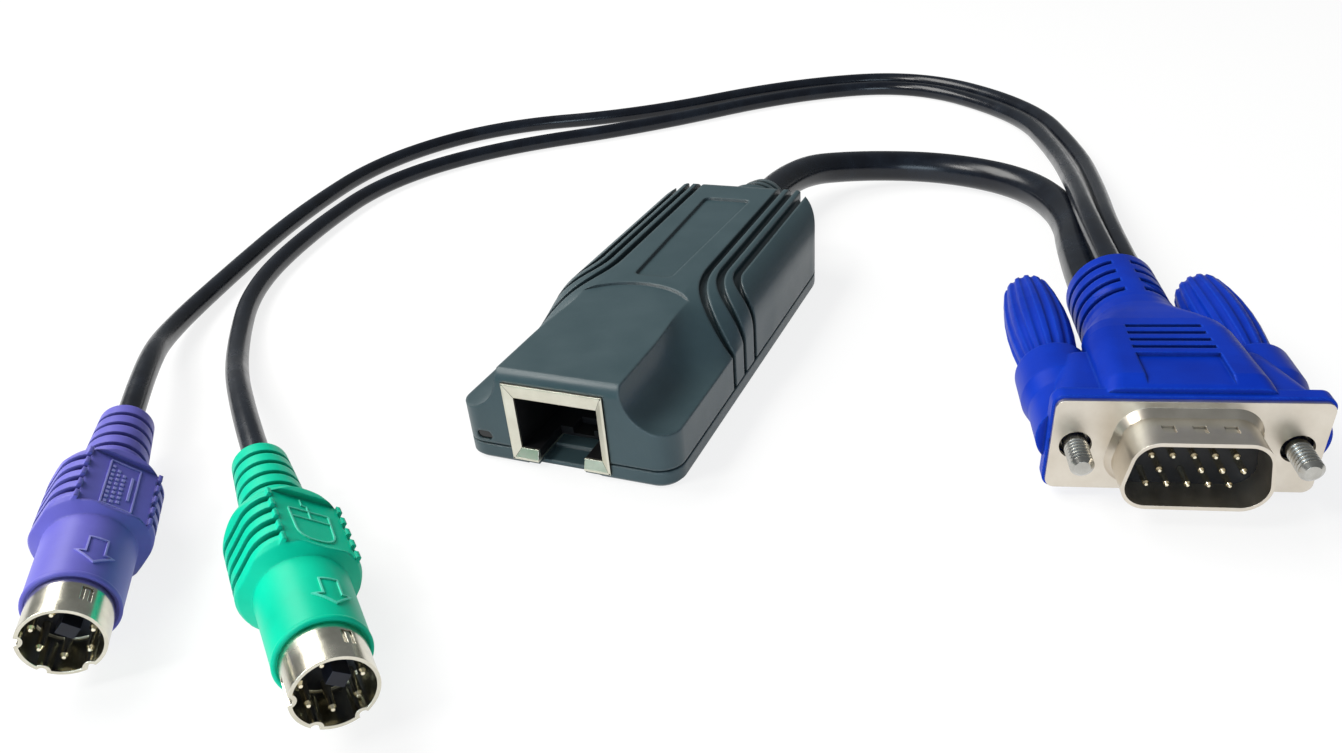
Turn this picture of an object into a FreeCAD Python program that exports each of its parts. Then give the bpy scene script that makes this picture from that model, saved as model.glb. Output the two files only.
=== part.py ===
import FreeCAD, Part
import math
import os

os.makedirs("parts", exist_ok=True)
V = FreeCAD.Vector

# ---------------------------------------------------------------- housing
HOUSING_L = 77.0
HOUSING_W = 33.0
HOUSING_H = 15.2
WALL = 1.8
FLOOR = 1.0
SPLIT_Z = 2.5
SEAM = 0.35
LEDGE_Z = 8.2
CREASE_X = 9.2
CREASE_DRAW = 2.3
FRONT_R = 3.5
REAR_R = 12.0
RIDGE_R = 2.2
TAIL_R = 3.6
FOOT_CHAMFER = 0.6
GROOVE_W = 1.2
GROOVE_DEPTH = 0.95
GROOVE_STEP = 2.1
HL = HOUSING_L / 2
HW = HOUSING_W / 2
SCOOP_START = -HL + 11.5
SCOOP_END = -HL + 33.5

# ---------------------------------------------------------------- network jack
JACK_X = -0.7
JACK_W = 15.2
JACK_H = 12.1
JACK_D = 18.3
JACK_PROUD = 0.3
JACK_Y = -HL - JACK_PROUD
SHEET = 0.35
FRAME_SINK = 0.55
INSERT_Y = JACK_Y + FRAME_SINK + SHEET
PORT_W = 12.6
PORT_Z0 = 2.7
PORT_Z1 = 10.8
LATCH_W = 7.2
CONTACT_PITCH = 1.02

# ---------------------------------------------------------------- circuit board
BOARD_Z = 3.2
BOARD_T = 1.2
BOARD_TOP = BOARD_Z + BOARD_T
BOARD_X = HW - WALL - 1.1
BOARD_Y0 = -HL + 5.5
BOARD_Y1 = HL - 7.5
SCREW_X = BOARD_X - 3.4
SCREW_Y = BOARD_Y1 - 3.5
BOSS_R = 2.6
LED_X = 0.9 - BOARD_X
LED_Z = 3.95
LED_Y = BOARD_Y0 - 1.0
HEADER_Y = BOARD_Y1 - 12.0

# ---------------------------------------------------------------- gland and cords
GLAND_Z = 7.4
GLAND_NECK_R = 4.0
GLAND_END = 50.0
VIDEO_R = 3.2
THIN_R = 1.8

# ---------------------------------------------------------------- video plug
VGA_AT = V(76.5, -22.5, 8.0)
VGA_YAW = 14.0
PLATE_W = 30.8
PLATE_H = 12.5
PLATE_T = 0.7
PLATE_HOLE_R = 1.9
D_W = 17.8
D_H = 9.3
D_R = 3.2
D_T = 0.5
D_OUT = 6.4
INSULATOR_OUT = 1.6
INSULATOR_T = 4.5
SCREW_PITCH = 24.99
HOOD_HALF = 7.9
LOBE_END = 18.0
LOBE_LOW_R = 4.35
LOBE_R = 4.9
TAPER_START = 16.5
KNOB_R = 4.45
KNOB_GAP = 0.5
KNOB_NECK_R = 3.5
KNOB_PLAY = 0.3
KNOB_FLUTES = 14
KNOB_FLUTE = 0.35
KNOB_DOME = 2.4
HOOD_END = 29.0
BOOT_END = 44.0
BOOT_R = 6.5
KNOB_END = 44.5
SHANK_R = 2.0
RUN_FIT = 0.05
COLLAR_R = 2.65
COLLAR_Y0 = 2.4
COLLAR_Y1 = 3.4
COLLAR_GAP = 0.3
JACKSCREW_R = 1.42
THREAD_PITCH = 0.635
THREAD_DEPTH = 0.36

# ---------------------------------------------------------------- round plugs
ROUND_L = 48.0
SHELL_R = 4.5
SHELL_T = 0.4
SHELL_OUT = 5.8
SHELL_L = 14.0
SHELL_NECK_R = 4.3
KEY_DENT_R = 0.5
KEY_DENT_L = 4.2
COLLAR_BACK_R = 5.25
SLEEVE_R = 4.1
GRIP_Y0 = 17.0
GRIP_Y1 = 34.0
GRIP_A = 6.35
GRIP_B = 6.0
GRIP_R = 4.4
GRIP_GROOVE = 1.15
PANEL_HALF = 4.15
PANEL_Y0 = 18.2
PANEL_Y1 = 29.6
PANEL_Z = 5.3
KEYBOARD_AT = (-32.8, -91.9)
KEYBOARD_DIR = 129.0
KEYBOARD_ROLL = 45.0
MOUSE_AT = (0.9, -88.2)
MOUSE_DIR = 140.0
MOUSE_ROLL = 40.0


def save(name, shape):
    shape.exportStep("parts/" + name + ".step")


def box(x0, x1, y0, y1, z0, z1):
    return Part.makeBox(x1 - x0, y1 - y0, z1 - z0, V(x0, y0, z0))


def rod(r, start, end):
    axis = end - start
    return Part.makeCylinder(r, axis.Length, start, axis)


def plan(inset, z0, z1):
    """Outline of the housing seen from above, as a prism."""
    x = HW - inset
    y = HL - inset
    f = FRONT_R - inset * 0.8
    r = REAR_R - inset * 0.8
    k = math.sqrt(0.5)
    front = V(x - f, -y + f, z0)
    rear = V(x - r, y - r, z0)
    right = [
        Part.Arc(V(x - f, -y, z0), front + V(f * k, -f * k, 0), V(x, -y + f, z0)).toShape(),
        Part.makeLine(V(x, -y + f, z0), V(x, y - r, z0)),
        Part.Arc(V(x, y - r, z0), rear + V(r * k, r * k, 0), V(x - r, y, z0)).toShape(),
    ]
    left = [
        Part.Arc(V(r - x, y, z0), V(-rear.x - r * k, rear.y + r * k, z0), V(-x, y - r, z0)).toShape(),
        Part.makeLine(V(-x, y - r, z0), V(-x, -y + f, z0)),
        Part.Arc(V(-x, -y + f, z0), V(-front.x - f * k, front.y - f * k, z0), V(f - x, -y, z0)).toShape(),
    ]
    edges = right + [Part.makeLine(V(x - r, y, z0), V(r - x, y, z0))]
    edges += left + [Part.makeLine(V(f - x, -y, z0), V(x - f, -y, z0))]
    return Part.Face(Part.Wire(edges)).extrude(V(0, 0, z1 - z0))


def side_view(inset):
    """Side outline of the housing: rounded front ridge and rear edge."""
    y = HL - inset
    z = HOUSING_H - inset
    f = max(RIDGE_R - inset, 0.3)
    r = max(TAIL_R - inset, 0.5)
    k = math.sqrt(0.5)
    w = HW + 2
    edges = [
        Part.makeLine(V(-w, -y, -1), V(-w, -y, z - f)),
        Part.Arc(V(-w, -y, z - f), V(-w, f - y - f * k, z - f + f * k), V(-w, f - y, z)).toShape(),
        Part.makeLine(V(-w, f - y, z), V(-w, y - r, z)),
        Part.Arc(V(-w, y - r, z), V(-w, y - r + r * k, z - r + r * k), V(-w, y, z - r)).toShape(),
        Part.makeLine(V(-w, y, z - r), V(-w, y, -1)),
        Part.makeLine(V(-w, y, -1), V(-w, -y, -1)),
    ]
    return Part.Face(Part.Wire(edges)).extrude(V(2 * w, 0, 0))


def cross_section(y, inset):
    """Section across the housing: concave scoops in front, round shoulders behind."""
    t = min(max((y - SCOOP_START) / (SCOOP_END - SCOOP_START), 0.0), 1.0)
    s = t * t * (3 - 2 * t)
    wide = HW - inset
    top = HOUSING_H - inset
    ledge = LEDGE_Z - inset * (1 - s)
    crease = CREASE_X - CREASE_DRAW * s - inset * (1 - s)
    pole_x = CREASE_X + 0.3 + s * (HW - CREASE_X - 0.3) - inset
    pole = V(pole_x, y, LEDGE_Z + s * (HOUSING_H - LEDGE_Z) - inset)
    edges = [Part.makeLine(V(-wide, y, 0), V(wide, y, 0)), Part.makeLine(V(wide, y, 0), V(wide, y, ledge))]
    curve = Part.BezierCurve()
    curve.setPoles([V(wide, y, ledge), pole, V(crease, y, top)])
    edges.append(curve.toShape())
    edges.append(Part.makeLine(V(crease, y, top), V(-crease, y, top)))
    curve = Part.BezierCurve()
    curve.setPoles([V(-crease, y, top), V(-pole.x, y, pole.z), V(-wide, y, ledge)])
    edges.append(curve.toShape())
    edges.append(Part.makeLine(V(-wide, y, ledge), V(-wide, y, 0)))
    return Part.Wire(edges)


def envelope(inset):
    """Outer form of the housing, or the same form drawn in by the wall."""
    steps = 6
    front = []
    for i in range(steps + 1):
        front.append(cross_section(SCOOP_START + (SCOOP_END - SCOOP_START) * i / steps, inset))
    nose = Part.Face(cross_section(SCOOP_START, inset)).extrude(V(0, -HL - 1 - SCOOP_START, 0))
    blend = Part.makeLoft(front, True, False)
    tail = Part.Face(cross_section(SCOOP_END, inset)).extrude(V(0, HL + 1 - SCOOP_END, 0))
    form = nose.fuse(blend).fuse(tail)
    return form.common(plan(inset, 0, HOUSING_H + 1)).common(side_view(inset))


def groove_plan(x, bend_y, along):
    """Plan of one groove: straight in from the rear, then a quarter ellipse out past the flank."""
    reach = HW + 1.0
    h = GROOVE_W / 2
    arcs = []
    for off in (-h, h):
        ends = [V(reach, bend_y - along - off, 0), V(x - off, bend_y, 0)]
        centre = V(reach, bend_y, 0)
        ends.sort(key=lambda end: -(end - centre).Length)
        ellipse = Part.Ellipse(ends[0], ends[1], centre)
        arcs.append(Part.ArcOfEllipse(ellipse, 0, math.pi / 2).toShape())
    far = HL + 1
    pts = [V(x + h, bend_y, 0), V(x + h, far, 0), V(x - h, far, 0), V(x - h, bend_y, 0)]
    lines = [Part.makeLine(pts[i], pts[i + 1]) for i in range(3)]
    tip = Part.makeLine(V(reach, bend_y - along + h, 0), V(reach, bend_y - along - h, 0))
    return Part.Face(Part.Wire(Part.__sortEdges__(arcs + lines + [tip])))


def grip_grooves(form_in):
    """Three grooves a side: along the top, then out and down the flank."""
    cuts = []
    for i in range(3):
        x = HW - 8.6 + GROOVE_STEP * i
        face = groove_plan(x, 0.5 * i, 15.0 - 2 * GROOVE_STEP * i)
        face.translate(V(0, 0, SPLIT_Z))
        groove = face.extrude(V(0, 0, HOUSING_H)).cut(form_in)
        cuts += [groove, groove.mirror(V(0, 0, 0), V(1, 0, 0))]
    return cuts


def name_panel():
    """Plain sunk panel on the top, narrower toward the front."""
    z = HOUSING_H - 0.45
    y0, y1 = -HL + 33.0, HL - 9.5
    pts = [V(-3.1, y0, z), V(3.1, y0, z), V(4.3, y1, z), V(-4.3, y1, z)]
    face = Part.Face(Part.makePolygon(pts + [pts[0]]))
    block = face.extrude(V(0, 0, 2))
    return block.makeFillet(1.0, [e for e in block.Edges if abs(e.Vertexes[0].Z - e.Vertexes[-1].Z) > 1])


def front_panel_step():
    """Shallow step that sets off the smooth front panel behind a curved line."""
    z0 = HOUSING_H - 0.35
    y = -HL + 19.5
    half = CREASE_X + 2.0
    curve = Part.Ellipse(V(half, y, z0), V(0, y + 10.7, z0), V(0, y, z0)).toShape()
    return Part.Face(Part.Wire(curve)).extrude(V(0, 0, 2)).fuse(box(-half, half, -HL - 1, y, z0, z0 + 2))


def jack_space(clear):
    w = JACK_W / 2 + clear
    return box(JACK_X - w, JACK_X + w, JACK_Y - 1, JACK_Y + JACK_D + clear, FLOOR, FLOOR + JACK_H + clear)


def screw_places():
    return [V(side * SCREW_X, SCREW_Y, 0) for side in (-1, 1)]


def gland_slot(r, y0, y1):
    slot = rod(r, V(0, y0, GLAND_Z), V(0, y1, GLAND_Z))
    return slot.fuse(box(-r, r, y0, y1, 0, GLAND_Z))


def oval(w, h, y0, y1, x, z):
    """Upright oval bar lying along y."""
    r = h / 2
    k = w / 2 - r
    bar = box(x - k, x + k, y0, y1, z - r, z + r)
    for side in (-1, 1):
        bar = bar.fuse(rod(r, V(x + side * k, y0, z), V(x + side * k, y1, z)))
    return bar.removeSplitter()


def top_cover():
    outer = envelope(0)
    inner = envelope(WALL)
    groove_floor = envelope(GROOVE_DEPTH)
    body = outer.common(box(-30, 30, -60, 60, SPLIT_Z, 40))
    body = body.cut(front_panel_step())
    body = body.cut(name_panel())
    for cut in grip_grooves(groove_floor):
        body = body.cut(cut)
    body = body.cut(plan(0, SPLIT_Z, SPLIT_Z + SEAM).cut(plan(0.5, 0, 10)))
    body = body.cut(inner)
    posts = []
    for p in screw_places():
        posts.append(rod(BOSS_R, p + V(0, 0, SPLIT_Z), p + V(0, 0, 20)))
    for x in (1.0 - BOARD_X, BOARD_X - 1.0):
        posts.append(box(x - 0.8, x + 0.8, 12.0, 15.0, BOARD_TOP, 20))
    for post in posts:
        body = body.fuse(post.common(groove_floor))
    for p in screw_places():
        body = body.cut(rod(1.1, p, p + V(0, 0, 10.2)))
    body = body.cut(jack_space(0.1))
    body = body.cut(gland_slot(GLAND_NECK_R + 0.1, HL - WALL - 1, HL + 1))
    body = body.cut(oval(2.5, 1.5, -HL - 1, -HL + WALL + 1, LED_X, LED_Z))
    return body.removeSplitter()


def bottom_cover():
    body = plan(0, 0, SPLIT_Z)
    low = [e for e in body.Edges if max(v.Z for v in e.Vertexes) < 0.01]
    body = body.makeChamfer(FOOT_CHAMFER, low)
    body = body.cut(plan(WALL, FLOOR, 10))
    for p in screw_places():
        body = body.fuse(rod(3.2, p + V(0, 0, FLOOR - 0.2), p + V(0, 0, SPLIT_Z)))
    rests = [V(side * (BOARD_X - 2.2), y, 0) for side in (-1, 1) for y in (BOARD_Y0 + 5.0, 4.0)]
    for p in rests + [V(0, BOARD_Y1 - 1.5, 0)]:
        body = body.fuse(rod(1.6, p + V(0, 0, FLOOR - 0.2), p + V(0, 0, BOARD_Z)))
    tongue = box(-GLAND_NECK_R, GLAND_NECK_R, HL - WALL, HL, SPLIT_Z - 0.5, GLAND_Z)
    body = body.fuse(tongue.cut(rod(GLAND_NECK_R, V(0, 0, GLAND_Z), V(0, 60, GLAND_Z))))
    for p in screw_places():
        body = body.cut(rod(1.3, p - V(0, 0, 1), p + V(0, 0, SPLIT_Z + 1)))
        body = body.cut(rod(2.2, p - V(0, 0, 1), p + V(0, 0, 1.3)))
    half = LATCH_W / 2
    body = body.cut(box(JACK_X - half - 2.2, JACK_X + half + 2.2, -HL - 1, -HL + 1.3, -1, 0.6))
    body = body.cut(box(JACK_X - half, JACK_X + half, -HL - 1, -HL + 5.0, 0.6, 2))
    return body.cut(jack_space(0.1)).removeSplitter()


def cover_screws():
    screws = []
    for p in screw_places():
        head = rod(2.0, p + V(0, 0, 0.15), p + V(0, 0, 1.3))
        head = head.cut(box(p.x - 1.2, p.x + 1.2, p.y - 0.25, p.y + 0.25, 0, 0.75))
        head = head.cut(box(p.x - 0.25, p.x + 0.25, p.y - 1.2, p.y + 1.2, 0, 0.75))
        screws.append(head.fuse(rod(1.1, p + V(0, 0, 1.2), p + V(0, 0, 9.5))).removeSplitter())
    return Part.makeCompound(screws)


def port_outline(w, z0, z1, y):
    """Rectangle across the front of the jack."""
    pts = [V(JACK_X - w, y, z0), V(JACK_X + w, y, z0), V(JACK_X + w, y, z1), V(JACK_X - w, y, z1)]
    return Part.makePolygon(pts + [pts[0]])


def jack_shield():
    """Folded steel shield whose front frame slopes in a little all round the port."""
    w = JACK_W / 2
    z1 = FLOOR + JACK_H
    y0 = JACK_Y
    half = PORT_W / 2
    shell = box(JACK_X - w, JACK_X + w, y0, y0 + JACK_D, FLOOR, z1)
    rim = port_outline(w - SHEET, FLOOR + SHEET, z1 - SHEET, y0)
    port = port_outline(half, PORT_Z0, PORT_Z1, y0 + FRAME_SINK)
    shell = shell.cut(Part.makeLoft([rim, port], True, True))
    shell = shell.cut(box(JACK_X - half, JACK_X + half, y0, y0 + 2, PORT_Z0, PORT_Z1))
    inner = w - SHEET
    back = y0 + JACK_D + 1
    shell = shell.cut(box(JACK_X - inner, JACK_X + inner, INSERT_Y, back, FLOOR + SHEET, z1 - SHEET))
    latch = LATCH_W / 2
    shell = shell.cut(box(JACK_X - latch, JACK_X + latch, y0 - 1, y0 + 8, FLOOR - 1, PORT_Z0 + 0.5))
    for side in (-1, 1):
        edge = JACK_X + side * (w - SHEET)
        tip = JACK_X + side * (w + 1.6)
        shell = shell.fuse(span(edge, tip, y0 + 9, y0 + 12, BOARD_TOP, BOARD_TOP + SHEET))
    return shell.removeSplitter()


def jack_insert():
    """Black moulding behind the frame, with the port's space and the eight contact slots."""
    w = JACK_W / 2 - SHEET
    y0 = INSERT_Y
    body = box(JACK_X - w, JACK_X + w, y0, JACK_Y + JACK_D, FLOOR + SHEET, FLOOR + JACK_H - SHEET)
    p = PORT_W / 2
    body = body.cut(box(JACK_X - p, JACK_X + p, y0 - 1, y0 + 12.4, PORT_Z0, PORT_Z1))
    half = LATCH_W / 2
    body = body.cut(box(JACK_X - half, JACK_X + half, y0 - 1, y0 + 6.4, FLOOR + SHEET - 0.1, PORT_Z0 + 0.1))
    body = body.cut(box(JACK_X - 1.7, JACK_X + 1.7, y0, y0 + 9.4, FLOOR + SHEET + 0.4, PORT_Z0 + 0.1))
    for i in range(8):
        x = JACK_X + (i - 3.5) * CONTACT_PITCH
        body = body.cut(box(x - 0.3, x + 0.3, y0 + 0.8, y0 + 12.4, PORT_Z1 - 0.1, PORT_Z1 + 0.75))
    for wire in contact_wires():
        body = body.cut(wire)
    return body


def strip(points, thick, width, x):
    """Flat bent strip: a folded centre line in the y-z plane given thickness and width."""
    left, right = [], []
    for i, (y, z) in enumerate(points):
        before = points[max(i - 1, 0)]
        after = points[min(i + 1, len(points) - 1)]
        a = math.atan2(z - before[1], y - before[0]) if i else math.atan2(after[1] - z, after[0] - y)
        b = math.atan2(after[1] - z, after[0] - y) if i < len(points) - 1 else a
        mid = (a + b) / 2
        half = thick / 2 / math.cos((a - b) / 2)
        left.append(V(x - width / 2, y - math.sin(mid) * half, z + math.cos(mid) * half))
        right.append(V(x - width / 2, y + math.sin(mid) * half, z - math.cos(mid) * half))
    loop = left + right[::-1]
    return Part.Face(Part.makePolygon(loop + [loop[0]])).extrude(V(width, 0, 0))


def contact_wires():
    """Eight spring wires slanting down from the roof of the port, with tails into the board."""
    y = INSERT_Y
    back = JACK_Y + JACK_D
    path = [(y + 11.2, 7.8), (y + 2.6, PORT_Z1 + 0.25), (y + 13.4, PORT_Z1 + 0.45)]
    path += [(back + 0.8, PORT_Z1 - 0.4), (back + 0.8, BOARD_Z)]
    front = strip(path[:2], 0.4, 0.45, 0)
    rear = strip(path[1:], 0.4, 0.45, 0)
    one = front.fuse(rear).removeSplitter()
    wires = []
    for i in range(8):
        wire = one.copy()
        wire.translate(V(JACK_X + (i - 3.5) * CONTACT_PITCH, 0, 0))
        wires.append(wire)
    return wires


def circuit_board():
    board = box(-BOARD_X, BOARD_X, BOARD_Y0, BOARD_Y1, BOARD_Z, BOARD_TOP)
    corners = [e for e in board.Edges if abs(e.Vertexes[0].Z - e.Vertexes[-1].Z) > 1]
    board = board.makeFillet(2.0, corners)
    w = JACK_W / 2 + 0.3
    board = board.cut(box(JACK_X - w, JACK_X + w, BOARD_Y0 - 1, JACK_Y + JACK_D + 0.3, 0, 20))
    for p in screw_places():
        board = board.cut(rod(BOSS_R + 0.3, p, p + V(0, 0, 20)))
    for wire in contact_wires():
        board = board.cut(wire)
    return board


def span(a, b, y0, y1, z0, z1):
    """Box between two x values given in either order."""
    return box(min(a, b), max(a, b), y0, y1, z0, z1)


def chip(x, y, w, d, h, legs):
    """Flat chip with gull legs on its two long sides, standing on the board."""
    body = box(x - w / 2, x + w / 2, y - d / 2, y + d / 2, BOARD_TOP + 0.15, BOARD_TOP + h)
    dot = V(x - w / 2 + 1, y - d / 2 + 1, BOARD_TOP + h - 0.15)
    body = body.cut(rod(0.4, dot, dot + V(0, 0, 1)))
    step = (d - 1.0) / (legs - 1)
    for i in range(legs):
        y0 = y - d / 2 + 0.3 + i * step
        y1 = y0 + 0.4
        for side in (-1, 1):
            knee = x + side * (w / 2 + 0.5)
            toe = x + side * (w / 2 + 1.0)
            body = body.fuse(span(x + side * (w / 2 - 0.2), knee, y0, y1, BOARD_TOP + 0.5, BOARD_TOP + 0.7))
            body = body.fuse(span(knee - side * 0.2, knee, y0, y1, BOARD_TOP, BOARD_TOP + 0.7))
            body = body.fuse(span(knee, toe, y0, y1, BOARD_TOP, BOARD_TOP + 0.2))
    return body.removeSplitter()


def crystal():
    k = 2.2
    can = box(-k, k, -1.9, 1.9, 0, 3.2)
    for side in (-1, 1):
        can = can.fuse(rod(1.9, V(side * k, 0, 0), V(side * k, 0, 3.2)))
    rim = box(-k, k, -2.3, 2.3, 0, 0.5)
    for side in (-1, 1):
        rim = rim.fuse(rod(2.3, V(side * k, 0, 0), V(side * k, 0, 0.5)))
    can = can.fuse(rim).removeSplitter()
    can.translate(V(5.4 - BOARD_X, -14.0, BOARD_TOP))
    return can


def capacitors():
    caps = []
    edge = BOARD_X - 3.0
    for x, y in ((edge, -12.0), (edge, -6.0), (-edge, HEADER_Y + 0.6)):
        can = Part.makeCylinder(2.0, 5.0, V(x, y, BOARD_TOP + 0.3))
        ring = Part.makeTorus(2.0, 0.22, V(x, y, BOARD_TOP + 1.3))
        caps.append(can.cut(ring).fuse(box(x - 2.2, x + 2.2, y - 2.2, y + 2.2, BOARD_TOP, BOARD_TOP + 0.35)))
    for x, y in ((-1.0, -8.0), (1.6, -8.0), (4.2, -8.0), (-edge, -4.0), (-edge, 8.0), (edge, 9.0)):
        caps.append(box(x - 0.5, x + 0.5, y - 0.9, y + 0.9, BOARD_TOP, BOARD_TOP + 0.8))
    return Part.makeCompound(caps)


def board_led():
    x, y = LED_X, BOARD_Y0 + 1.0
    base = box(x - 0.8, x + 0.8, y - 0.5, y + 1.2, BOARD_TOP, BOARD_TOP + 0.4)
    lens = box(x - 0.6, x + 0.6, y - 0.3, y + 0.9, BOARD_TOP + 0.4, BOARD_TOP + 1.1)
    return base.fuse(lens).removeSplitter()


def led_light_pipe():
    """Small oval window in the front wall, bent up inside toward the lamp on the board."""
    pipe = oval(2.4, 1.4, -HL + 0.35, LED_Y + 0.6, LED_X, LED_Z)
    return pipe.cut(box(LED_X - 3, LED_X + 3, BOARD_Y0 - 0.3, 0, 0, 10))


def cable_header():
    x0, x1, y0 = -6.6, 6.6, HEADER_Y
    base = box(x0, x1, y0, y0 + 4.6, BOARD_TOP, BOARD_TOP + 3.4)
    base = base.cut(box(x0 + 0.7, x1 - 0.7, y0 + 0.7, y0 + 3.9, BOARD_TOP + 0.8, 20))
    for i in range(5):
        x = (i - 2) * 2.4
        pin = box(x - 0.3, x + 0.3, y0 + 2.0, y0 + 2.6, BOARD_TOP + 0.5, BOARD_TOP + 3.0)
        base = base.fuse(pin)
    return base.removeSplitter()


def tube(points, r):
    """Round cord through straight runs joined by tangent arcs. Returns solid, radii and length."""
    edges, radii = [], []
    last = points[0]
    for i in range(1, len(points) - 1):
        a = points[i - 1] - points[i]
        b = points[i + 1] - points[i]
        step = 0.45 * min(a.Length, b.Length)
        a.normalize()
        b.normalize()
        half = (math.pi - a.getAngle(b)) / 2
        radius = step / math.tan(half)
        start = points[i] + a * step
        end = points[i] + b * step
        bisector = (a + b).normalize()
        middle = points[i] + bisector * (math.hypot(radius, step) - radius)
        edges.append(Part.LineSegment(last, start).toShape())
        edges.append(Part.Arc(start, middle, end).toShape())
        radii.append(radius)
        last = end
    edges.append(Part.LineSegment(last, points[-1]).toShape())
    path = Part.Wire(edges)
    ring = Part.Wire(Part.Circle(points[0], points[1] - points[0], r).toShape())
    solid = path.makePipeShell([ring], True, False, 2)
    return solid, radii, path.Length


def header_wires():
    wires = []
    for i in range(5):
        x = (i - 2) * 2.4
        path = [V((i - 2) * 1.3, HL - WALL - 2.0, GLAND_Z + 1.6), V(x * 0.8, HL - 7.1, GLAND_Z + 2.6)]
        path += [V(x, HEADER_Y + 7.6, GLAND_Z + 2.4), V(x, HEADER_Y + 3.2, BOARD_TOP + 3.7)]
        wires.append(tube(path, 0.45)[0])
    return Part.makeCompound(wires)


def cable_gland():
    """Strain relief of the video cable: inner flange, neck in the wall, tapered outer sleeve."""
    y0 = HL - WALL - 1.8
    pts = [(0, y0), (4.7, y0), (4.7, HL - WALL - 0.1), (GLAND_NECK_R - 0.05, HL - WALL - 0.1),
           (GLAND_NECK_R - 0.05, HL + 0.1), (6.1, HL + 0.1), (6.1, HL + 3.2), (5.5, HL + 3.8)]
    for i in range(2):
        y = HL + 5.2 + i * 2.6
        r = 5.4 - 0.35 * i
        pts += [(r, y), (r - 0.8, y), (r - 0.85, y + 1.0), (r - 0.1, y + 1.0)]
    pts += [(4.5, GLAND_END - 0.5), (4.1, GLAND_END), (0, GLAND_END)]
    return lathe(pts, V(0, 0, GLAND_Z))


def lathe(pts, at):
    """Turned form about a line along y through the given point; pts are (radius, y)."""
    loop = [V(r, y, 0) for r, y in pts]
    loop.append(loop[0])
    solid = Part.Face(Part.makePolygon(loop)).revolve(V(0, 0, 0), V(0, 1, 0), 360)
    solid.translate(at)
    return solid


# ---------------------------------------------------------------- video plug, facing -y about its own origin
def place_vga(shape):
    shape = shape.copy()
    turn = FreeCAD.Rotation(V(0, 0, 1), VGA_YAW)
    shape.Placement = FreeCAD.Placement(VGA_AT, turn).multiply(shape.Placement)
    return shape


def vga_point(x, y, z):
    return VGA_AT + FreeCAD.Rotation(V(0, 0, 1), VGA_YAW).multVec(V(x, y, z))


def rounded(w, h, r, y):
    """Rounded rectangle across the plug at depth y, as a wire."""
    x, z = w / 2, h / 2
    k = r * (1 - math.sqrt(0.5))
    edges = []
    for sx, sz, turn in ((1, -1, 0), (1, 1, 1), (-1, 1, 0), (-1, -1, 1)):
        a = V(sx * (x - r), y, sz * z)
        b = V(sx * x, y, sz * (z - r))
        m = V(sx * (x - k), y, sz * (z - k))
        if turn:
            a, b = b, a
        edges.append((a, m, b))
    loop = []
    for i in range(4):
        a, m, b = edges[i]
        loop.append(Part.Arc(a, m, b).toShape())
        nxt = edges[(i + 1) % 4][0]
        if (nxt - b).Length > 1e-6:
            loop.append(Part.makeLine(b, nxt))
    return Part.Wire(loop)


def d_outline(w, h, r, y):
    """D outline of the plug shell: wide side down, sides leaning in by ten degrees."""
    lean = h / 2 * math.tan(math.radians(10))
    top = w / 2 - 2 * lean
    pts = [V(-w / 2, y, -h / 2), V(w / 2, y, -h / 2), V(top, y, h / 2), V(-top, y, h / 2)]
    loop = []
    last = None
    first = None
    for i in range(4):
        p = pts[i]
        a = pts[i - 1] - p
        b = pts[(i + 1) % 4] - p
        a.normalize()
        b.normalize()
        half = a.getAngle(b) / 2
        step = r / math.tan(half)
        start, end = p + a * step, p + b * step
        middle = p + (a + b).normalize() * (r / math.sin(half) - r)
        if last is not None:
            loop.append(Part.makeLine(last, start))
        else:
            first = start
        loop.append(Part.Arc(start, middle, end).toShape())
        last = end
    loop.append(Part.makeLine(last, first))
    return Part.Wire(loop)


def screw_axes():
    return [-SCREW_PITCH / 2, SCREW_PITCH / 2]


def shell_bore(y):
    """Inside of the D shell at depth y."""
    return d_outline(D_W - 2 * D_T, D_H - 2 * D_T, D_R - D_T, y)


def insulator_back(y):
    """Wider rear step of the insulator, which the hood holds, at depth y."""
    return d_outline(D_W + 0.6, D_H + 0.6, D_R, y)


def vga_shell():
    """Drawn steel flange and D shell with small round-cornered dimples above and below."""
    plate = Part.Face(rounded(PLATE_W, PLATE_H, 1.2, 0)).extrude(V(0, PLATE_T, 0))
    for x in screw_axes():
        plate = plate.cut(rod(PLATE_HOLE_R, V(x, -1, 0), V(x, 2, 0)))
    flare = [d_outline(D_W + 1.6, D_H + 1.6, D_R + 0.6, 0), d_outline(D_W, D_H, D_R, -1.0)]
    root = Part.makeLoft(flare, True, True)
    skirt = Part.Face(d_outline(D_W, D_H, D_R, -D_OUT)).extrude(V(0, D_OUT - 0.5, 0))
    body = plate.fuse(root).fuse(skirt)
    body = body.cut(Part.Face(shell_bore(-D_OUT - 1)).extrude(V(0, D_OUT + 3, 0)))
    for i in (-1, 0, 1):
        body = body.cut(box(i * 3.4 - 0.75, i * 3.4 + 0.75, -4.1, -2.6, D_H / 2 - 0.3, D_H / 2 + 1))
        body = body.cut(box(i * 3.4 - 0.75, i * 3.4 + 0.75, -4.1, -2.6, -D_H / 2 - 1, -D_H / 2 + 0.3))
    return body.removeSplitter()


def pin_places():
    places = []
    for i in range(5):
        places.append((-5.1525 + 2.29 * i, 1.98))
        places.append((-5.1525 + 2.29 * i, -1.98))
        if i != 1:
            places.append((-4.0075 + 2.29 * i, 0.0))
    return places


def contact_pin(x, z, r, y0, y1):
    nose = r * 0.9
    pts = [(0, y0), (r * 0.45, y0), (r, y0 + nose), (r, y1), (0, y1)]
    return lathe(pts, V(x, 0, z))


def vga_pins():
    return [contact_pin(x, z, 0.38, -5.2, 4.4) for x, z in pin_places()]


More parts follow.
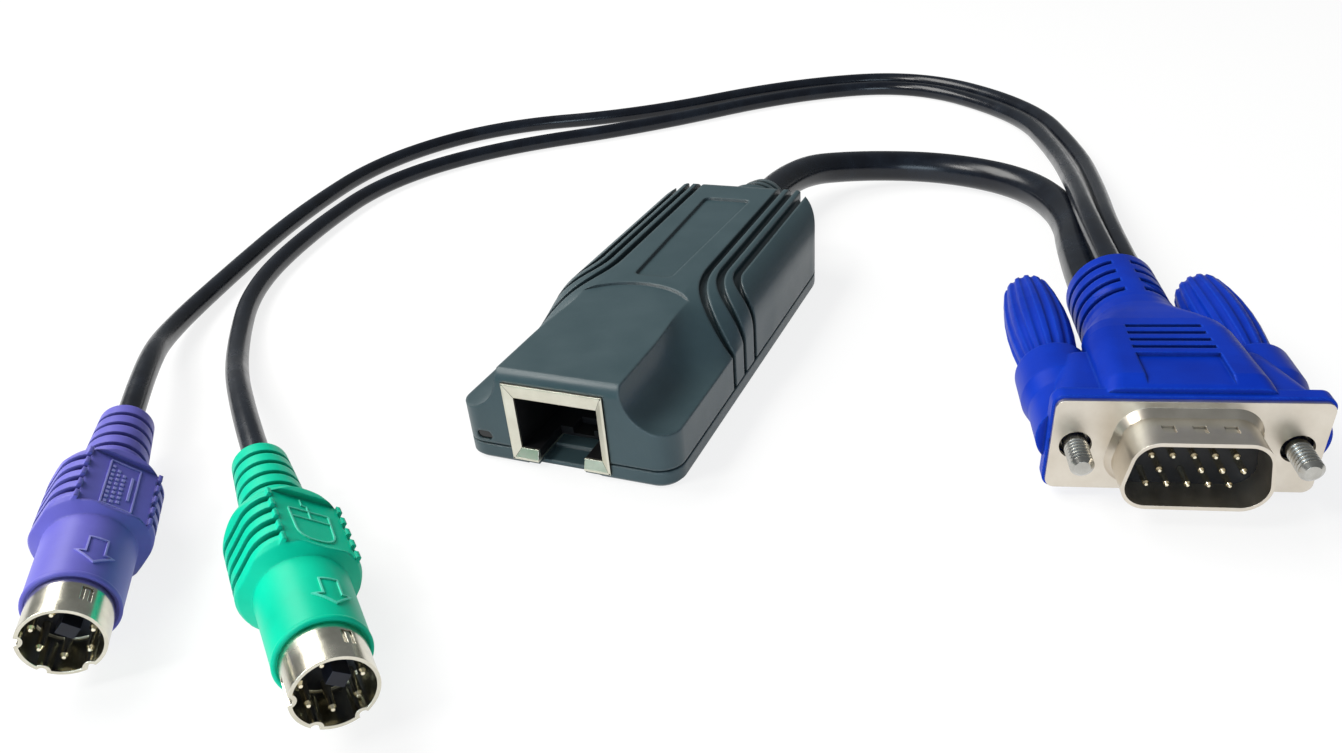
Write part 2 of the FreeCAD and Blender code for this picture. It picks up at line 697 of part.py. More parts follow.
def vga_insulator():
    front = Part.Face(shell_bore(-INSULATOR_OUT)).extrude(V(0, INSULATOR_OUT + PLATE_T, 0))
    back = Part.Face(insulator_back(PLATE_T)).extrude(V(0, INSULATOR_T, 0))
    body = front.fuse(back)
    for pin in vga_pins():
        body = body.cut(pin)
    return body.removeSplitter()


def inner_mould():
    sections = [rounded(15.0, 10.4, 2.0, PLATE_T + INSULATOR_T), rounded(14.0, 10.0, 2.0, 18.0)]
    return Part.makeLoft(sections + [rounded(9.4, 9.4, 3.0, 27.0)], True, True)


def hood_sections():
    """Sections of the hood's middle: nearly square-edged in front, easing into the round cable sleeve."""
    h = 2 * HOOD_HALF
    sections = [rounded(20.4, h - 1.4, 2.4, 1.5), rounded(19.6, h, 2.6, 4.0)]
    steps = 5
    for i in range(steps + 1):
        t = i / steps
        s = t * t * (3 - 2 * t)
        w = 18.6 + (2 * BOOT_R - 18.6) * s
        tall = h + (2 * BOOT_R - h) * s
        sections.append(rounded(w, tall, 3.2 + 3.0 * s, TAPER_START + (HOOD_END - TAPER_START) * t))
    sections.append(rounded(2 * BOOT_R, 2 * BOOT_R, 6.2, HOOD_END + 1.0))
    return sections


def hood():
    """Moulded hood: flange, raised middle, two side sleeves and the ringed cable sleeve."""
    flange = Part.Face(rounded(PLATE_W + 0.6, PLATE_H + 0.7, 1.5, PLATE_T)).extrude(V(0, 1.9, 0))
    shoulder = [rounded(PLATE_W - 0.6, PLATE_H - 0.4, 2.0, 1.5), rounded(27.0, 10.2, 3.4, 14.5)]
    body = flange.fuse(Part.makeLoft(shoulder, True, True)).fuse(Part.makeLoft(hood_sections(), True, True))
    side_sleeve = [(0, 2), (LOBE_LOW_R, 2), (LOBE_LOW_R, 8.4), (LOBE_R, 11.2), (LOBE_R, LOBE_END - 0.5)]
    side_sleeve += [(LOBE_R - 0.5, LOBE_END), (0, LOBE_END)]
    for x in screw_axes():
        body = body.fuse(lathe(side_sleeve, V(x, 0, 0)))
    sleeve = [(0, HOOD_END - 1), (BOOT_R, HOOD_END - 1), (BOOT_R, BOOT_END - 0.8)]
    sleeve += [(BOOT_R - 0.8, BOOT_END), (0, BOOT_END)]
    body = body.fuse(lathe(sleeve, V(0, 0, 0)))
    for i in range(4):
        y = HOOD_END + 1.6 + 3.1 * i
        ring = rod(BOOT_R + 1, V(0, y, 0), V(0, y + 1.2, 0))
        ring = ring.cut(rod(BOOT_R - 0.75, V(0, y - 1, 0), V(0, y + 3, 0)))
        body = body.cut(ring.cut(box(-1.3, 1.3, y - 1, y + 3, -20, 20)))
    for top in (-1, 1):
        level = HOOD_HALF - 0.5
        z0, z1 = (level, level + 2) if top > 0 else (-level - 2, -level)
        for i in range(4):
            y = 10.4 + 1.9 * i
            body = body.cut(box(-4.9 + 0.1 * i, 4.9 - 0.1 * i, y, y + 0.8, z0, z1))
        body = body.cut(box(-4.9, 4.9, 1.9, 9.2, z0, z1))
    body = body.cut(inner_mould())
    body = body.cut(Part.Face(insulator_back(0)).extrude(V(0, PLATE_T + INSULATOR_T, 0)))
    for x in screw_axes():
        body = body.cut(rod(SHANK_R + RUN_FIT, V(x, 0, 0), V(x, LOBE_END + 1, 0)))
        body = body.cut(rod(COLLAR_R + COLLAR_GAP, V(x, 0, 0), V(x, COLLAR_Y1 + COLLAR_GAP, 0)))
        body = body.cut(rod(KNOB_R + KNOB_GAP, V(x, LOBE_END, 0), V(x, BOOT_END, 0)))
    return body.removeSplitter()


def thumbscrew_shank(x):
    """Jackscrew: threaded tip, retaining collar and the smooth shank inside the sleeve."""
    tip = -5.0
    pts = [(0, tip), (0.9, tip), (JACKSCREW_R, tip + 0.5)]
    for i in range(6):
        y = tip + 0.5 + THREAD_PITCH * i
        pts += [(JACKSCREW_R, y + 0.1), (JACKSCREW_R - THREAD_DEPTH, y + THREAD_PITCH / 2)]
        pts += [(JACKSCREW_R, y + THREAD_PITCH - 0.05)]
    pts += [(JACKSCREW_R, 1.4), (SHANK_R, 1.5), (SHANK_R, COLLAR_Y0), (COLLAR_R, COLLAR_Y0)]
    pts += [(COLLAR_R, COLLAR_Y1), (SHANK_R, COLLAR_Y1), (SHANK_R, LOBE_END + 8.0), (0, LOBE_END + 8.0)]
    return lathe(pts, V(x, 0, 0))


def fluted_ring(r, y):
    """Round outline with shallow lengthwise flutes all round it."""
    depth = KNOB_FLUTE * min(1.0, r / KNOB_NECK_R)
    step = 2 * math.pi / KNOB_FLUTES
    edges = []
    for i in range(KNOB_FLUTES):
        pts = []
        for share, sink in ((0, 0), (0.3, depth), (0.6, 0), (0.8, 0), (1.0, 0)):
            a = step * (i + share)
            pts.append(V((r - sink) * math.cos(a), y, (r - sink) * math.sin(a)))
        edges.append(Part.Arc(pts[0], pts[1], pts[2]).toShape())
        edges.append(Part.Arc(pts[2], pts[3], pts[4]).toShape())
    return Part.Wire(edges)


def thumbscrew_knob(x):
    """Barrel-shaped finger knob with lengthwise flutes that follow the barrel."""
    y0 = LOBE_END + KNOB_PLAY
    steps = 6
    rings = []
    for i in range(steps + 1):
        t = i / steps
        swell = 1 - (2 * t - 1) ** 2
        r = KNOB_NECK_R + (KNOB_R - KNOB_NECK_R) * swell
        rings.append(fluted_ring(r, y0 + (KNOB_END - KNOB_DOME - y0) * t))
    for share in (0.45, 0.8, 1.0):
        r = KNOB_NECK_R * math.sqrt(1 - (share * 0.94) ** 2)
        rings.append(fluted_ring(r, KNOB_END - KNOB_DOME * (1 - share)))
    knob = Part.makeLoft(rings, True, True)
    knob = knob.cut(rod(SHANK_R, V(0, 0, 0), V(0, LOBE_END + 8.0, 0)))
    knob.translate(V(x, 0, 0))
    return knob


# ---------------------------------------------------------------- round plugs, from the mouth toward +y
def grip_section(inset, y0, y1):
    """Rounded-square bar of the grip, drawn in by the inset."""
    outline = rounded(2 * (GRIP_A - inset), 2 * (GRIP_B - inset), GRIP_R, y0)
    return Part.Face(outline).extrude(V(0, y1 - y0, 0))


def plug_grip():
    """Moulded grip: round collar, ribbed rounded-square grip with a sunk panel, ringed cable sleeve."""
    block = grip_section(0, GRIP_Y0, GRIP_Y1)
    turned = [(0, GRIP_Y0), (COLLAR_BACK_R, GRIP_Y0), (6.6, GRIP_Y0 + 1.2), (7.1, GRIP_Y0 + 2.2), (7.1, 28.2)]
    turned += [(6.3, 30.6), (SLEEVE_R, GRIP_Y1), (0, GRIP_Y1)]
    block = block.common(lathe(turned, V(0, 0, 0)))
    for side in (-1, 1):
        edge = side * PANEL_HALF
        block = block.fuse(span(edge, edge + side * 0.5, PANEL_Y0, PANEL_Y1, 4.0, PANEL_Z + 0.3))
    core = grip_section(0.85, GRIP_Y0 - 1, GRIP_Y1 + 1)
    for i in range(4):
        y = 19.6 + 2.5 * i
        cut = box(-9, 9, y, y + GRIP_GROOVE, -9, 9).cut(core)
        block = block.cut(cut.cut(box(-PANEL_HALF, PANEL_HALF, 0, 60, -9, 9)))
    block = block.cut(box(-PANEL_HALF, PANEL_HALF, PANEL_Y0, PANEL_Y1, PANEL_Z, 9))
    block = block.cut(box(-3.5, 3.5, PANEL_Y0, PANEL_Y1, -9, 0.4 - GRIP_B))
    collar = [(0, SHELL_OUT), (4.9, SHELL_OUT), (5.1, SHELL_OUT + 0.3)]
    collar += [(COLLAR_BACK_R, GRIP_Y0 + 0.5), (0, GRIP_Y0 + 0.5)]
    pts = [(0, GRIP_Y1 - 2), (SLEEVE_R, GRIP_Y1 - 2)]
    for i in range(4):
        y = GRIP_Y1 + 1.0 + 3.0 * i
        r = SLEEVE_R - 0.12 * i
        pts += [(r, y), (r - 0.65, y + 0.05), (r - 0.65, y + 0.95), (r - 0.05, y + 1.0)]
    pts += [(SLEEVE_R - 0.5, ROUND_L - 0.8), (3.0, ROUND_L), (0, ROUND_L)]
    body = block.fuse(lathe(collar, V(0, 0, 0))).fuse(lathe(pts, V(0, 0, 0)))
    return body.cut(rod(SHELL_NECK_R, V(0, 0, 0), V(0, SHELL_L, 0))).removeSplitter()


def plug_shell():
    """Drawn steel shell: three keying dents in the rim, one stamped tongue, a narrower neck in the grip."""
    wall = rod(SHELL_R, V(0, 0, 0), V(0, SHELL_OUT, 0)).fuse(rod(SHELL_NECK_R, V(0, 0, 0), V(0, SHELL_L, 0)))
    wall = wall.cut(rod(SHELL_NECK_R - SHELL_T, V(0, -1, 0), V(0, SHELL_L + 1, 0)))
    wall = wall.cut(rod(SHELL_R - SHELL_T, V(0, -1, 0), V(0, SHELL_OUT - SHELL_T, 0)))
    whole = rod(SHELL_R, V(0, 0, 0), V(0, SHELL_OUT, 0))
    for angle in (205, 270, 335):
        a = math.radians(angle)
        at = V(SHELL_R * math.cos(a), 0, SHELL_R * math.sin(a))
        dent = rod(KEY_DENT_R + SHELL_T, at, at + V(0, KEY_DENT_L, 0)).common(whole)
        wall = wall.fuse(dent).cut(rod(KEY_DENT_R, at - V(0, 1, 0), at + V(0, KEY_DENT_L - SHELL_T, 0)))
    stamp = box(-0.6, 0.6, 2.3, 4.5, SHELL_R - 0.25, SHELL_R + 1)
    stamp = stamp.cut(box(-0.25, 0.25, 2.0, 4.1, 0, SHELL_R + 1))
    return wall.cut(stamp).removeSplitter()


def plug_pin_places():
    return [(-1.3, -2.7), (1.3, -2.7), (-3.1, -0.6), (3.1, -0.6), (-2.2, 2.1), (2.2, 2.1)]


def plug_pins():
    return [contact_pin(x, z, 0.45, 1.0, 12.0) for x, z in plug_pin_places()]


def plug_insert():
    body = rod(SHELL_NECK_R - SHELL_T, V(0, SHELL_OUT - SHELL_T, 0), V(0, SHELL_L, 0))
    body = body.fuse(box(-1.0, 1.0, 0.8, 6.0, 0.3, 1.9))
    for pin in plug_pins():
        body = body.cut(pin)
    return body.removeSplitter()


def round_plug_placement(at, heading, roll):
    turned = FreeCAD.Rotation(V(0, 1, 0), roll)
    a = math.radians(roll)
    lift = (GRIP_A - GRIP_R) * abs(math.sin(a)) + (GRIP_B - GRIP_R) * math.cos(a) + GRIP_R + 0.05
    facing = FreeCAD.Rotation(V(0, 0, 1), heading - 90)
    return FreeCAD.Placement(V(at[0], at[1], lift), facing.multiply(turned))


def placed(shape, placement):
    shape = shape.copy()
    shape.Placement = placement.multiply(shape.Placement)
    return shape


keyboard_place = round_plug_placement(KEYBOARD_AT, KEYBOARD_DIR, KEYBOARD_ROLL)
mouse_place = round_plug_placement(MOUSE_AT, MOUSE_DIR, MOUSE_ROLL)


# ---------------------------------------------------------------- cord routes
def plug_end(place, back):
    return place.multVec(V(0, ROUND_L + back, 0))


VIDEO_ROUTE = [
    V(0, GLAND_END, GLAND_Z), V(0, 67.5, GLAND_Z), V(11.6, 82.4, 4.6), V(29.8, 87.3, 3.5),
    V(47.2, 80.2, 3.4), V(57.0, 63.4, 3.6),
    vga_point(-1.4, BOOT_END + 17, -2.4), vga_point(-1.4, BOOT_END, -2.4)]
MOUSE_ROUTE = [
    vga_point(0.2, BOOT_END, 3.2), vga_point(0.2, BOOT_END + 20, 3.2),
    V(57.0, 68.4, 8.0), V(50.9, 101.5, 3.6), V(39.5, 135.0, 1.9), V(8.0, 161.0, 1.9),
    V(-24.0, 147.0, 1.9), V(-54.0, 112.0, 1.9), V(-86.0, 88.0, 1.9), V(-101.0, 60.0, 1.9),
    V(-97.6, 28.0, 1.9), V(-89.4, -1.0, 1.9), V(-72.0, -24.5, 2.2),
    plug_end(mouse_place, 20.0), plug_end(mouse_place, 0)]
KEYBOARD_ROUTE = [
    vga_point(3.8, BOOT_END, 1.3), vga_point(3.8, BOOT_END + 20, 1.3),
    V(61.2, 70.4, 6.0), V(55.7, 103.5, 2.8), V(42.0, 142.0, 1.9), V(8.0, 170.0, 1.9),
    V(-27.0, 157.0, 1.9), V(-60.0, 122.0, 1.9), V(-96.0, 106.0, 1.9), V(-112.0, 74.0, 1.9),
    V(-108.0, 36.0, 1.9), V(-98.5, 2.0, 1.9), V(-89.0, -23.0, 3.0),
    plug_end(keyboard_place, 19.5), plug_end(keyboard_place, 0)]


def main():
    save("top_cover", top_cover())
    save("bottom_cover", bottom_cover())
    save("cover_screws", cover_screws())
    save("jack_shield", jack_shield())
    save("jack_insert", jack_insert())
    save("jack_contacts", Part.makeCompound(contact_wires()))
    save("circuit_board", circuit_board())
    save("main_chip", chip(1.0, 3.0, 9.0, 12.0, 1.5, 12))
    chip_x = BOARD_X - 5.2
    save("line_chips", Part.makeCompound([chip(x, 13.0, 3.6, 4.6, 1.3, 4) for x in (-chip_x, chip_x)]))
    save("crystal", crystal())
    save("capacitors", capacitors())
    save("board_led", board_led())
    save("led_light_pipe", led_light_pipe())
    save("cable_header", cable_header())
    save("header_wires", header_wires())
    save("cable_gland", cable_gland())
    save("vga_hood", place_vga(hood()))
    save("vga_inner_mould", place_vga(inner_mould()))
    save("vga_shell", place_vga(vga_shell()))
    save("vga_insulator", place_vga(vga_insulator()))
    save("vga_pins", place_vga(Part.makeCompound(vga_pins())))
    for side, x in zip(("left", "right"), screw_axes()):
        save("thumbscrew_" + side + "_shank", place_vga(thumbscrew_shank(x)))
        save("thumbscrew_" + side + "_knob", place_vga(thumbscrew_knob(x)))
    for name, place in (("keyboard", keyboard_place), ("mouse", mouse_place)):
        save(name + "_plug_grip", placed(plug_grip(), place))
        save(name + "_plug_shell", placed(plug_shell(), place))
        save(name + "_plug_insert", placed(plug_insert(), place))
        save(name + "_plug_pins", placed(Part.makeCompound(plug_pins()), place))
    for name, route, r in (("video_cable", VIDEO_ROUTE, VIDEO_R), ("mouse_cable", MOUSE_ROUTE, THIN_R),
                           ("keyboard_cable", KEYBOARD_ROUTE, THIN_R)):
        solid, radii, length = tube(route, r)
        save(name, solid)
        print(name, "length", round(length, 1), "radii", [round(v, 1) for v in radii])


main()
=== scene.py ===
import math

import bmesh
import bpy
from mathutils import Matrix, Vector


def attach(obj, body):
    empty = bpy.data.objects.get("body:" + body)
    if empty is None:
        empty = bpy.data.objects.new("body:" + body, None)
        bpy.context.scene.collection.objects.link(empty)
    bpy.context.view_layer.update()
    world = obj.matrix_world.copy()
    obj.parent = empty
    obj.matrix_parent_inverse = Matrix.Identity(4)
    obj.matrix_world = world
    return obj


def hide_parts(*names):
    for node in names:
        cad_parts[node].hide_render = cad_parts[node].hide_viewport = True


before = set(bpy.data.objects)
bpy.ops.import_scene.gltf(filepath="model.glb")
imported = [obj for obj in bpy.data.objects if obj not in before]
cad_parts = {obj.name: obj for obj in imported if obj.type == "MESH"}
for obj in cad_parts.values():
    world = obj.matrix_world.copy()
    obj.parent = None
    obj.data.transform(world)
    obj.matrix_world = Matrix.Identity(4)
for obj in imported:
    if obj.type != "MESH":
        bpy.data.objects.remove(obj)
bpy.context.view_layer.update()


# The circuit board and what is soldered to it: a glass-fibre board under green lacquer, black
# epoxy chips with tinned legs, a plated crystal can, aluminium capacitors, a cream nylon header
# and the five sleeved wires that go to the gland. The bottom cover's pillars carry the board.
def start_finish(name, metal, reflect):
    """A new finish: the material, its nodes, links and shader, and the piece's own coordinates."""
    finish = bpy.data.materials.new(name)
    finish.use_nodes = True
    nodes, links = finish.node_tree.nodes, finish.node_tree.links
    shader = nodes["Principled BSDF"]
    shader.inputs["Metallic"].default_value = metal
    shader.inputs["Specular IOR Level"].default_value = reflect
    return finish, nodes, links, shader, nodes.new("ShaderNodeTexCoord").outputs["Object"]


def patches(nodes, links, place, per_metre, detail):
    """Soft uneven patches, so many to a metre."""
    noise = nodes.new("ShaderNodeTexNoise")
    noise.inputs["Scale"].default_value = per_metre
    noise.inputs["Detail"].default_value = detail
    noise.inputs["Roughness"].default_value = 0.6
    links.new(place, noise.inputs["Vector"])
    return noise.outputs["Fac"]


def between(nodes, links, amount, start, end, low, high):
    """Turns an amount that runs from start to end into a value that runs from low to high."""
    span = nodes.new("ShaderNodeMapRange")
    for socket, value in (("From Min", start), ("From Max", end), ("To Min", low), ("To Max", high)):
        span.inputs[socket].default_value = value
    links.new(amount, span.inputs["Value"])
    return span.outputs["Result"]


def blended(nodes, links, amount, first, second):
    """Blends from the first colour to the second; either may be a plain colour or a socket."""
    mix = nodes.new("ShaderNodeMix")
    mix.data_type = "RGBA"
    links.new(amount, mix.inputs["Factor"])
    for socket, colour in ((mix.inputs[6], first), (mix.inputs[7], second)):
        if isinstance(colour, tuple):
            socket.default_value = (*colour, 1)
        else:
            links.new(colour, socket)
    return mix.outputs[2]


def worn_edges(nodes, links, radius):
    """Rounds sharp edges for the light, and says how near an edge is: 0 on a flat, 1 on the edge."""
    eased = nodes.new("ShaderNodeBevel")
    eased.samples = 6
    eased.inputs["Radius"].default_value = radius
    match = nodes.new("ShaderNodeVectorMath")
    match.operation = "DOT_PRODUCT"
    links.new(eased.outputs["Normal"], match.inputs[0])
    links.new(nodes.new("ShaderNodeNewGeometry").outputs["Normal"], match.inputs[1])
    return eased.outputs["Normal"], between(nodes, links, match.outputs["Value"], 0.995, 0.86, 0.0, 1.0)


def painted_crevice_shade(nodes, links, reach):
    """How much painted shade a groove or corner gets, from its occlusion: 0 in the open, 1 in the bottom of a
    narrow groove.
    """
    hollow = nodes.new("ShaderNodeAmbientOcclusion")
    hollow.samples = 8
    hollow.only_local = True
    hollow.inputs["Distance"].default_value = reach
    return between(nodes, links, hollow.outputs["AO"], 0.82, 0.30, 0.0, 1.0)


def texture_on(nodes, links, shader, height, depth, eased):
    """Fine texture of the given depth over the eased edges."""
    bump = nodes.new("ShaderNodeBump")
    bump.inputs["Strength"].default_value = 0.7
    bump.inputs["Distance"].default_value = depth
    links.new(height, bump.inputs["Height"])
    links.new(eased, bump.inputs["Normal"])
    links.new(bump.outputs["Normal"], shader.inputs["Normal"])


def moulding(name, dark, light, worn, gloss, reflect, grain, depth, radius):
    """Moulded plastic: cloudy colour, uneven gloss, spark texture off the tool, rubbed edges, and painted shade
    darkening its grooves and corners.

    grain is the texture's specks to a metre, depth their height, radius the edges' rounding.
    """
    finish, nodes, links, shader, place = start_finish(name, 0.0, reflect)
    cloud = patches(nodes, links, place, 110.0, 6.0)
    speck = patches(nodes, links, place, grain, 3.0)
    eased, edge = worn_edges(nodes, links, radius)
    colour = blended(nodes, links, between(nodes, links, cloud, 0.34, 0.68, 0.0, 1.0), dark, light)
    lightened = nodes.new("ShaderNodeMath")
    lightened.operation = "MULTIPLY"
    links.new(edge, lightened.inputs[0])
    links.new(between(nodes, links, speck, 0.35, 0.65, 0.25, 1.0), lightened.inputs[1])
    colour = blended(nodes, links, lightened.outputs["Value"], colour, worn)
    # Painted shade: grooves and corners darken towards a third of the dark tone.
    crevice_shade = painted_crevice_shade(nodes, links, reach=0.0016)
    colour = blended(nodes, links, crevice_shade, colour, tuple(0.35 * part for part in dark))
    links.new(colour, shader.inputs["Base Color"])
    links.new(between(nodes, links, cloud, 0.3, 0.7, *gloss), shader.inputs["Roughness"])
    texture_on(nodes, links, shader, speck, depth, eased)
    return finish


def plated(name, dark, light, gloss, grain, radius):
    """Plated or rolled metal: faint rolling grain, patchy gloss, bright rubbed edges, and painted shade
    darkening its grooves and corners.
    """
    finish, nodes, links, shader, place = start_finish(name, 1.0, 0.5)
    cloud = patches(nodes, links, place, 260.0, 6.0)
    speck = patches(nodes, links, place, grain, 2.0)
    eased, edge = worn_edges(nodes, links, radius)
    colour = blended(nodes, links, between(nodes, links, cloud, 0.35, 0.65, 0.0, 1.0), dark, light)
    bright = tuple(min(1.0, 1.15 * part) for part in light)
    colour = blended(nodes, links, edge, colour, bright)
    # Painted shade: grooves and corners darken towards a third of the dark tone.
    crevice_shade = painted_crevice_shade(nodes, links, reach=0.0004)
    colour = blended(nodes, links, crevice_shade, colour, tuple(0.35 * part for part in dark))
    links.new(colour, shader.inputs["Base Color"])
    links.new(between(nodes, links, cloud, 0.3, 0.7, *gloss), shader.inputs["Roughness"])
    texture_on(nodes, links, shader, speck, depth=0.000006, eased=eased)
    return finish


def chip_finish(name, shift, centre, half):
    """Black epoxy between the legs, tinned metal past half the chip's width from its middle."""
    finish, nodes, links, shader, place = start_finish(name, 0.0, 0.4)
    split = nodes.new("ShaderNodeSeparateXYZ")
    links.new(place, split.inputs["Vector"])
    reach = split.outputs["X"]
    for take, value in (("SUBTRACT", shift), ("ABSOLUTE", None), ("SUBTRACT", centre), ("ABSOLUTE", None)):
        step = nodes.new("ShaderNodeMath")
        step.operation = take
        links.new(reach, step.inputs[0])
        if value is not None:
            step.inputs[1].default_value = value
        reach = step.outputs["Value"]
    brim = 0.00005
    leg = between(nodes, links, reach, half, half + brim, 0.0, 1.0)
    speck = patches(nodes, links, place, 2600.0, 3.0)
    epoxy = blended(nodes, links, speck, (0.010, 0.010, 0.011), (0.022, 0.022, 0.024))
    tin = (0.62, 0.62, 0.60)
    links.new(blended(nodes, links, leg, epoxy, tin), shader.inputs["Base Color"])
    links.new(leg, shader.inputs["Metallic"])
    links.new(between(nodes, links, speck, 0.3, 0.7, 0.38, 0.55), shader.inputs["Roughness"])
    eased = worn_edges(nodes, links, radius=0.0001)[0]
    texture_on(nodes, links, shader, speck, depth=0.00001, eased=eased)
    return finish


def board_finish(name):
    """Green lacquer over copper tracks, which run along and across the board and stand up a little."""
    finish, nodes, links, shader, place = start_finish(name, 0.0, 0.55)
    track = nodes.new("ShaderNodeTexBrick")
    track.inputs["Scale"].default_value = 260.0
    track.inputs["Mortar Size"].default_value = 0.035
    track.inputs["Brick Width"].default_value = 0.9
    links.new(place, track.inputs["Vector"])
    copper = between(nodes, links, track.outputs["Fac"], 0.2, 0.8, 0.0, 1.0)
    cloud = patches(nodes, links, place, 300.0, 5.0)
    lacquer = blended(nodes, links, cloud, (0.008, 0.075, 0.030), (0.016, 0.12, 0.048))
    over_copper = (0.035, 0.20, 0.075)
    links.new(blended(nodes, links, copper, lacquer, over_copper), shader.inputs["Base Color"])
    links.new(between(nodes, links, cloud, 0.3, 0.7, 0.18, 0.34), shader.inputs["Roughness"])
    eased = worn_edges(nodes, links, radius=0.0001)[0]
    texture_on(nodes, links, shader, copper, depth=0.00004, eased=eased)
    return finish


def put_on(node, finish):
    """Gives the finish to a CAD piece that keeps its own mesh."""
    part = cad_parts[node]
    if not part.material_slots:
        part.data.materials.append(finish)
    for held in part.material_slots:
        held.material = finish


put_on("circuit_board", board_finish("green_lacquer"))
put_on("main_chip", chip_finish("main_chip_epoxy", shift=0.001, centre=0.0, half=0.0045))
put_on("line_chips", chip_finish("line_chip_epoxy", shift=0.0, centre=0.0084, half=0.0018))
put_on("crystal", plated(
    "crystal_can", dark=(0.60, 0.59, 0.55), light=(0.76, 0.75, 0.71),
    gloss=(0.14, 0.28), grain=1800.0, radius=0.0001))
put_on("capacitors", plated(
    "aluminium_can", dark=(0.66, 0.67, 0.68), light=(0.80, 0.81, 0.82),
    gloss=(0.30, 0.45), grain=2400.0, radius=0.0001))
cream = moulding(
    "cream_nylon", dark=(0.58, 0.53, 0.40), light=(0.68, 0.63, 0.50), worn=(0.74, 0.70, 0.60),
    gloss=(0.38, 0.52), reflect=0.4, grain=3000.0, depth=0.00001, radius=0.0001)
put_on("cable_header", cream)
put_on("board_led", moulding(
    "clear_epoxy", dark=(0.40, 0.46, 0.34), light=(0.50, 0.56, 0.42), worn=(0.6, 0.64, 0.5),
    gloss=(0.08, 0.16), reflect=0.5, grain=900.0, depth=0.000004, radius=0.0001))
put_on("header_wires", moulding(
    "red_sleeving", dark=(0.28, 0.012, 0.012), light=(0.38, 0.020, 0.018), worn=(0.42, 0.05, 0.05),
    gloss=(0.3, 0.42), reflect=0.45, grain=2600.0, depth=0.000006, radius=0.0001))


# The network jack: a folded shield of bright nickel-plated steel round a black moulding with eight
# gilt spring wires. The sheet is folded in all round the port and meets in mitred corners. The
# shield is soldered to the board by its two side tabs. Sizes here are in millimetres.
SHIELD_X = -0.7
SHIELD_HALF = 7.6
SHIELD_FRONT = -38.8
SHIELD_LOW = 1.0
SHIELD_HIGH = 13.1
PORT_HALF = 6.3
PORT_LOW = 2.7
PORT_HIGH = 10.8
FOLD_IN = 0.55
LATCH_HALF = 3.6
LATCH_GAP = 0.1
LIP_WIDE = 0.36
LIP_DEEP = 0.25
LIP_PROUD = 0.02
LIP_SOFT = 0.09
SEAM_INSET = 0.35
SEAM_SUNK = 0.01
SEAM_WIDE = 0.07
SEAM_THICK = 0.05
SEAM_SOFT = 0.02
MILLIMETRES = Matrix.Scale(0.001, 4)

bright_nickel = plated(
    "bright_nickel", dark=(0.66, 0.64, 0.53), light=(0.76, 0.74, 0.63),
    gloss=(0.32, 0.42), grain=2600.0, radius=0.00008)
put_on("jack_shield", bright_nickel)
put_on("jack_insert", moulding(
    "jack_black", dark=(0.004, 0.004, 0.005), light=(0.009, 0.009, 0.010), worn=(0.03, 0.03, 0.03),
    gloss=(0.4, 0.55), reflect=0.3, grain=3000.0, depth=0.00001, radius=0.0001))
put_on("jack_contacts", plated(
    "gilt_wire", dark=(0.68, 0.44, 0.13), light=(0.84, 0.60, 0.24),
    gloss=(0.16, 0.28), grain=3200.0, radius=0.00005))


def soft_block(form, place, soft):
    """Adds a block with eased edges to the form; the place also gives its size."""
    cube = bmesh.ops.create_cube(form, size=1.0, matrix=place)
    form.edges.index_update()
    edges = sorted({edge for vert in cube["verts"] for edge in vert.link_edges}, key=lambda edge: edge.index)
    bmesh.ops.bevel(form, geom=edges, offset=soft, affect="EDGES", segments=2, profile=0.5, material=-1)


def bar(form, low, high, soft):
    """Adds a small block with eased edges, from its low corner to its high one."""
    low, high = Vector(low), Vector(high)
    soft_block(form, Matrix.Translation((low + high) / 2) @ Matrix.Diagonal((*(high - low), 1)), soft)


def set_piece(name, form, place, finish):
    """Makes a piece of the form, moved to its place, on the dongle's body."""
    bmesh.ops.transform(form, matrix=place, verts=form.verts[:])
    bmesh.ops.recalc_face_normals(form, faces=form.faces[:])
    mesh = bpy.data.meshes.new(name)
    form.to_mesh(mesh)
    form.free()
    mesh.materials.append(finish)
    piece = bpy.data.objects.new(name, mesh)
    bpy.context.scene.collection.objects.link(piece)
    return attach(piece, "dongle")


def seam(form, start, end):
    """Adds the thin dark line of a mitred corner, from start to end across the shield's front."""
    start, end = Vector(start), Vector(end)
    along = (end - start).normalized()
    across = along.cross(Vector((0, -1, 0))).normalized()
    turn = Matrix((along, across, along.cross(across))).transposed().to_4x4()
    size = Matrix.Diagonal(((end - start).length, SEAM_WIDE, SEAM_THICK, 1))
    soft_block(form, Matrix.Translation((start + end) / 2) @ turn @ size, SEAM_SOFT)


mitres = bmesh.new()
for side in (-1, 1):
    outer_x = SHIELD_X + side * (SHIELD_HALF - SEAM_INSET)
    inner_x = SHIELD_X + side * PORT_HALF
    for outer_z, inner_z in ((SHIELD_HIGH - SEAM_INSET, PORT_HIGH), (SHIELD_LOW + SEAM_INSET, PORT_LOW)):
        seam(mitres, (outer_x, SHIELD_FRONT + SEAM_SUNK, outer_z),
             (inner_x, SHIELD_FRONT + FOLD_IN - SEAM_SUNK, inner_z))
joint_shadow = moulding(
    "mitre_shadow", dark=(0.16, 0.15, 0.12), light=(0.22, 0.21, 0.17), worn=(0.3, 0.3, 0.25),
    gloss=(0.5, 0.6), reflect=0.3, grain=2000.0, depth=0.000004, radius=0.00003)
set_piece("jack_mitres", mitres, MILLIMETRES, joint_shadow)

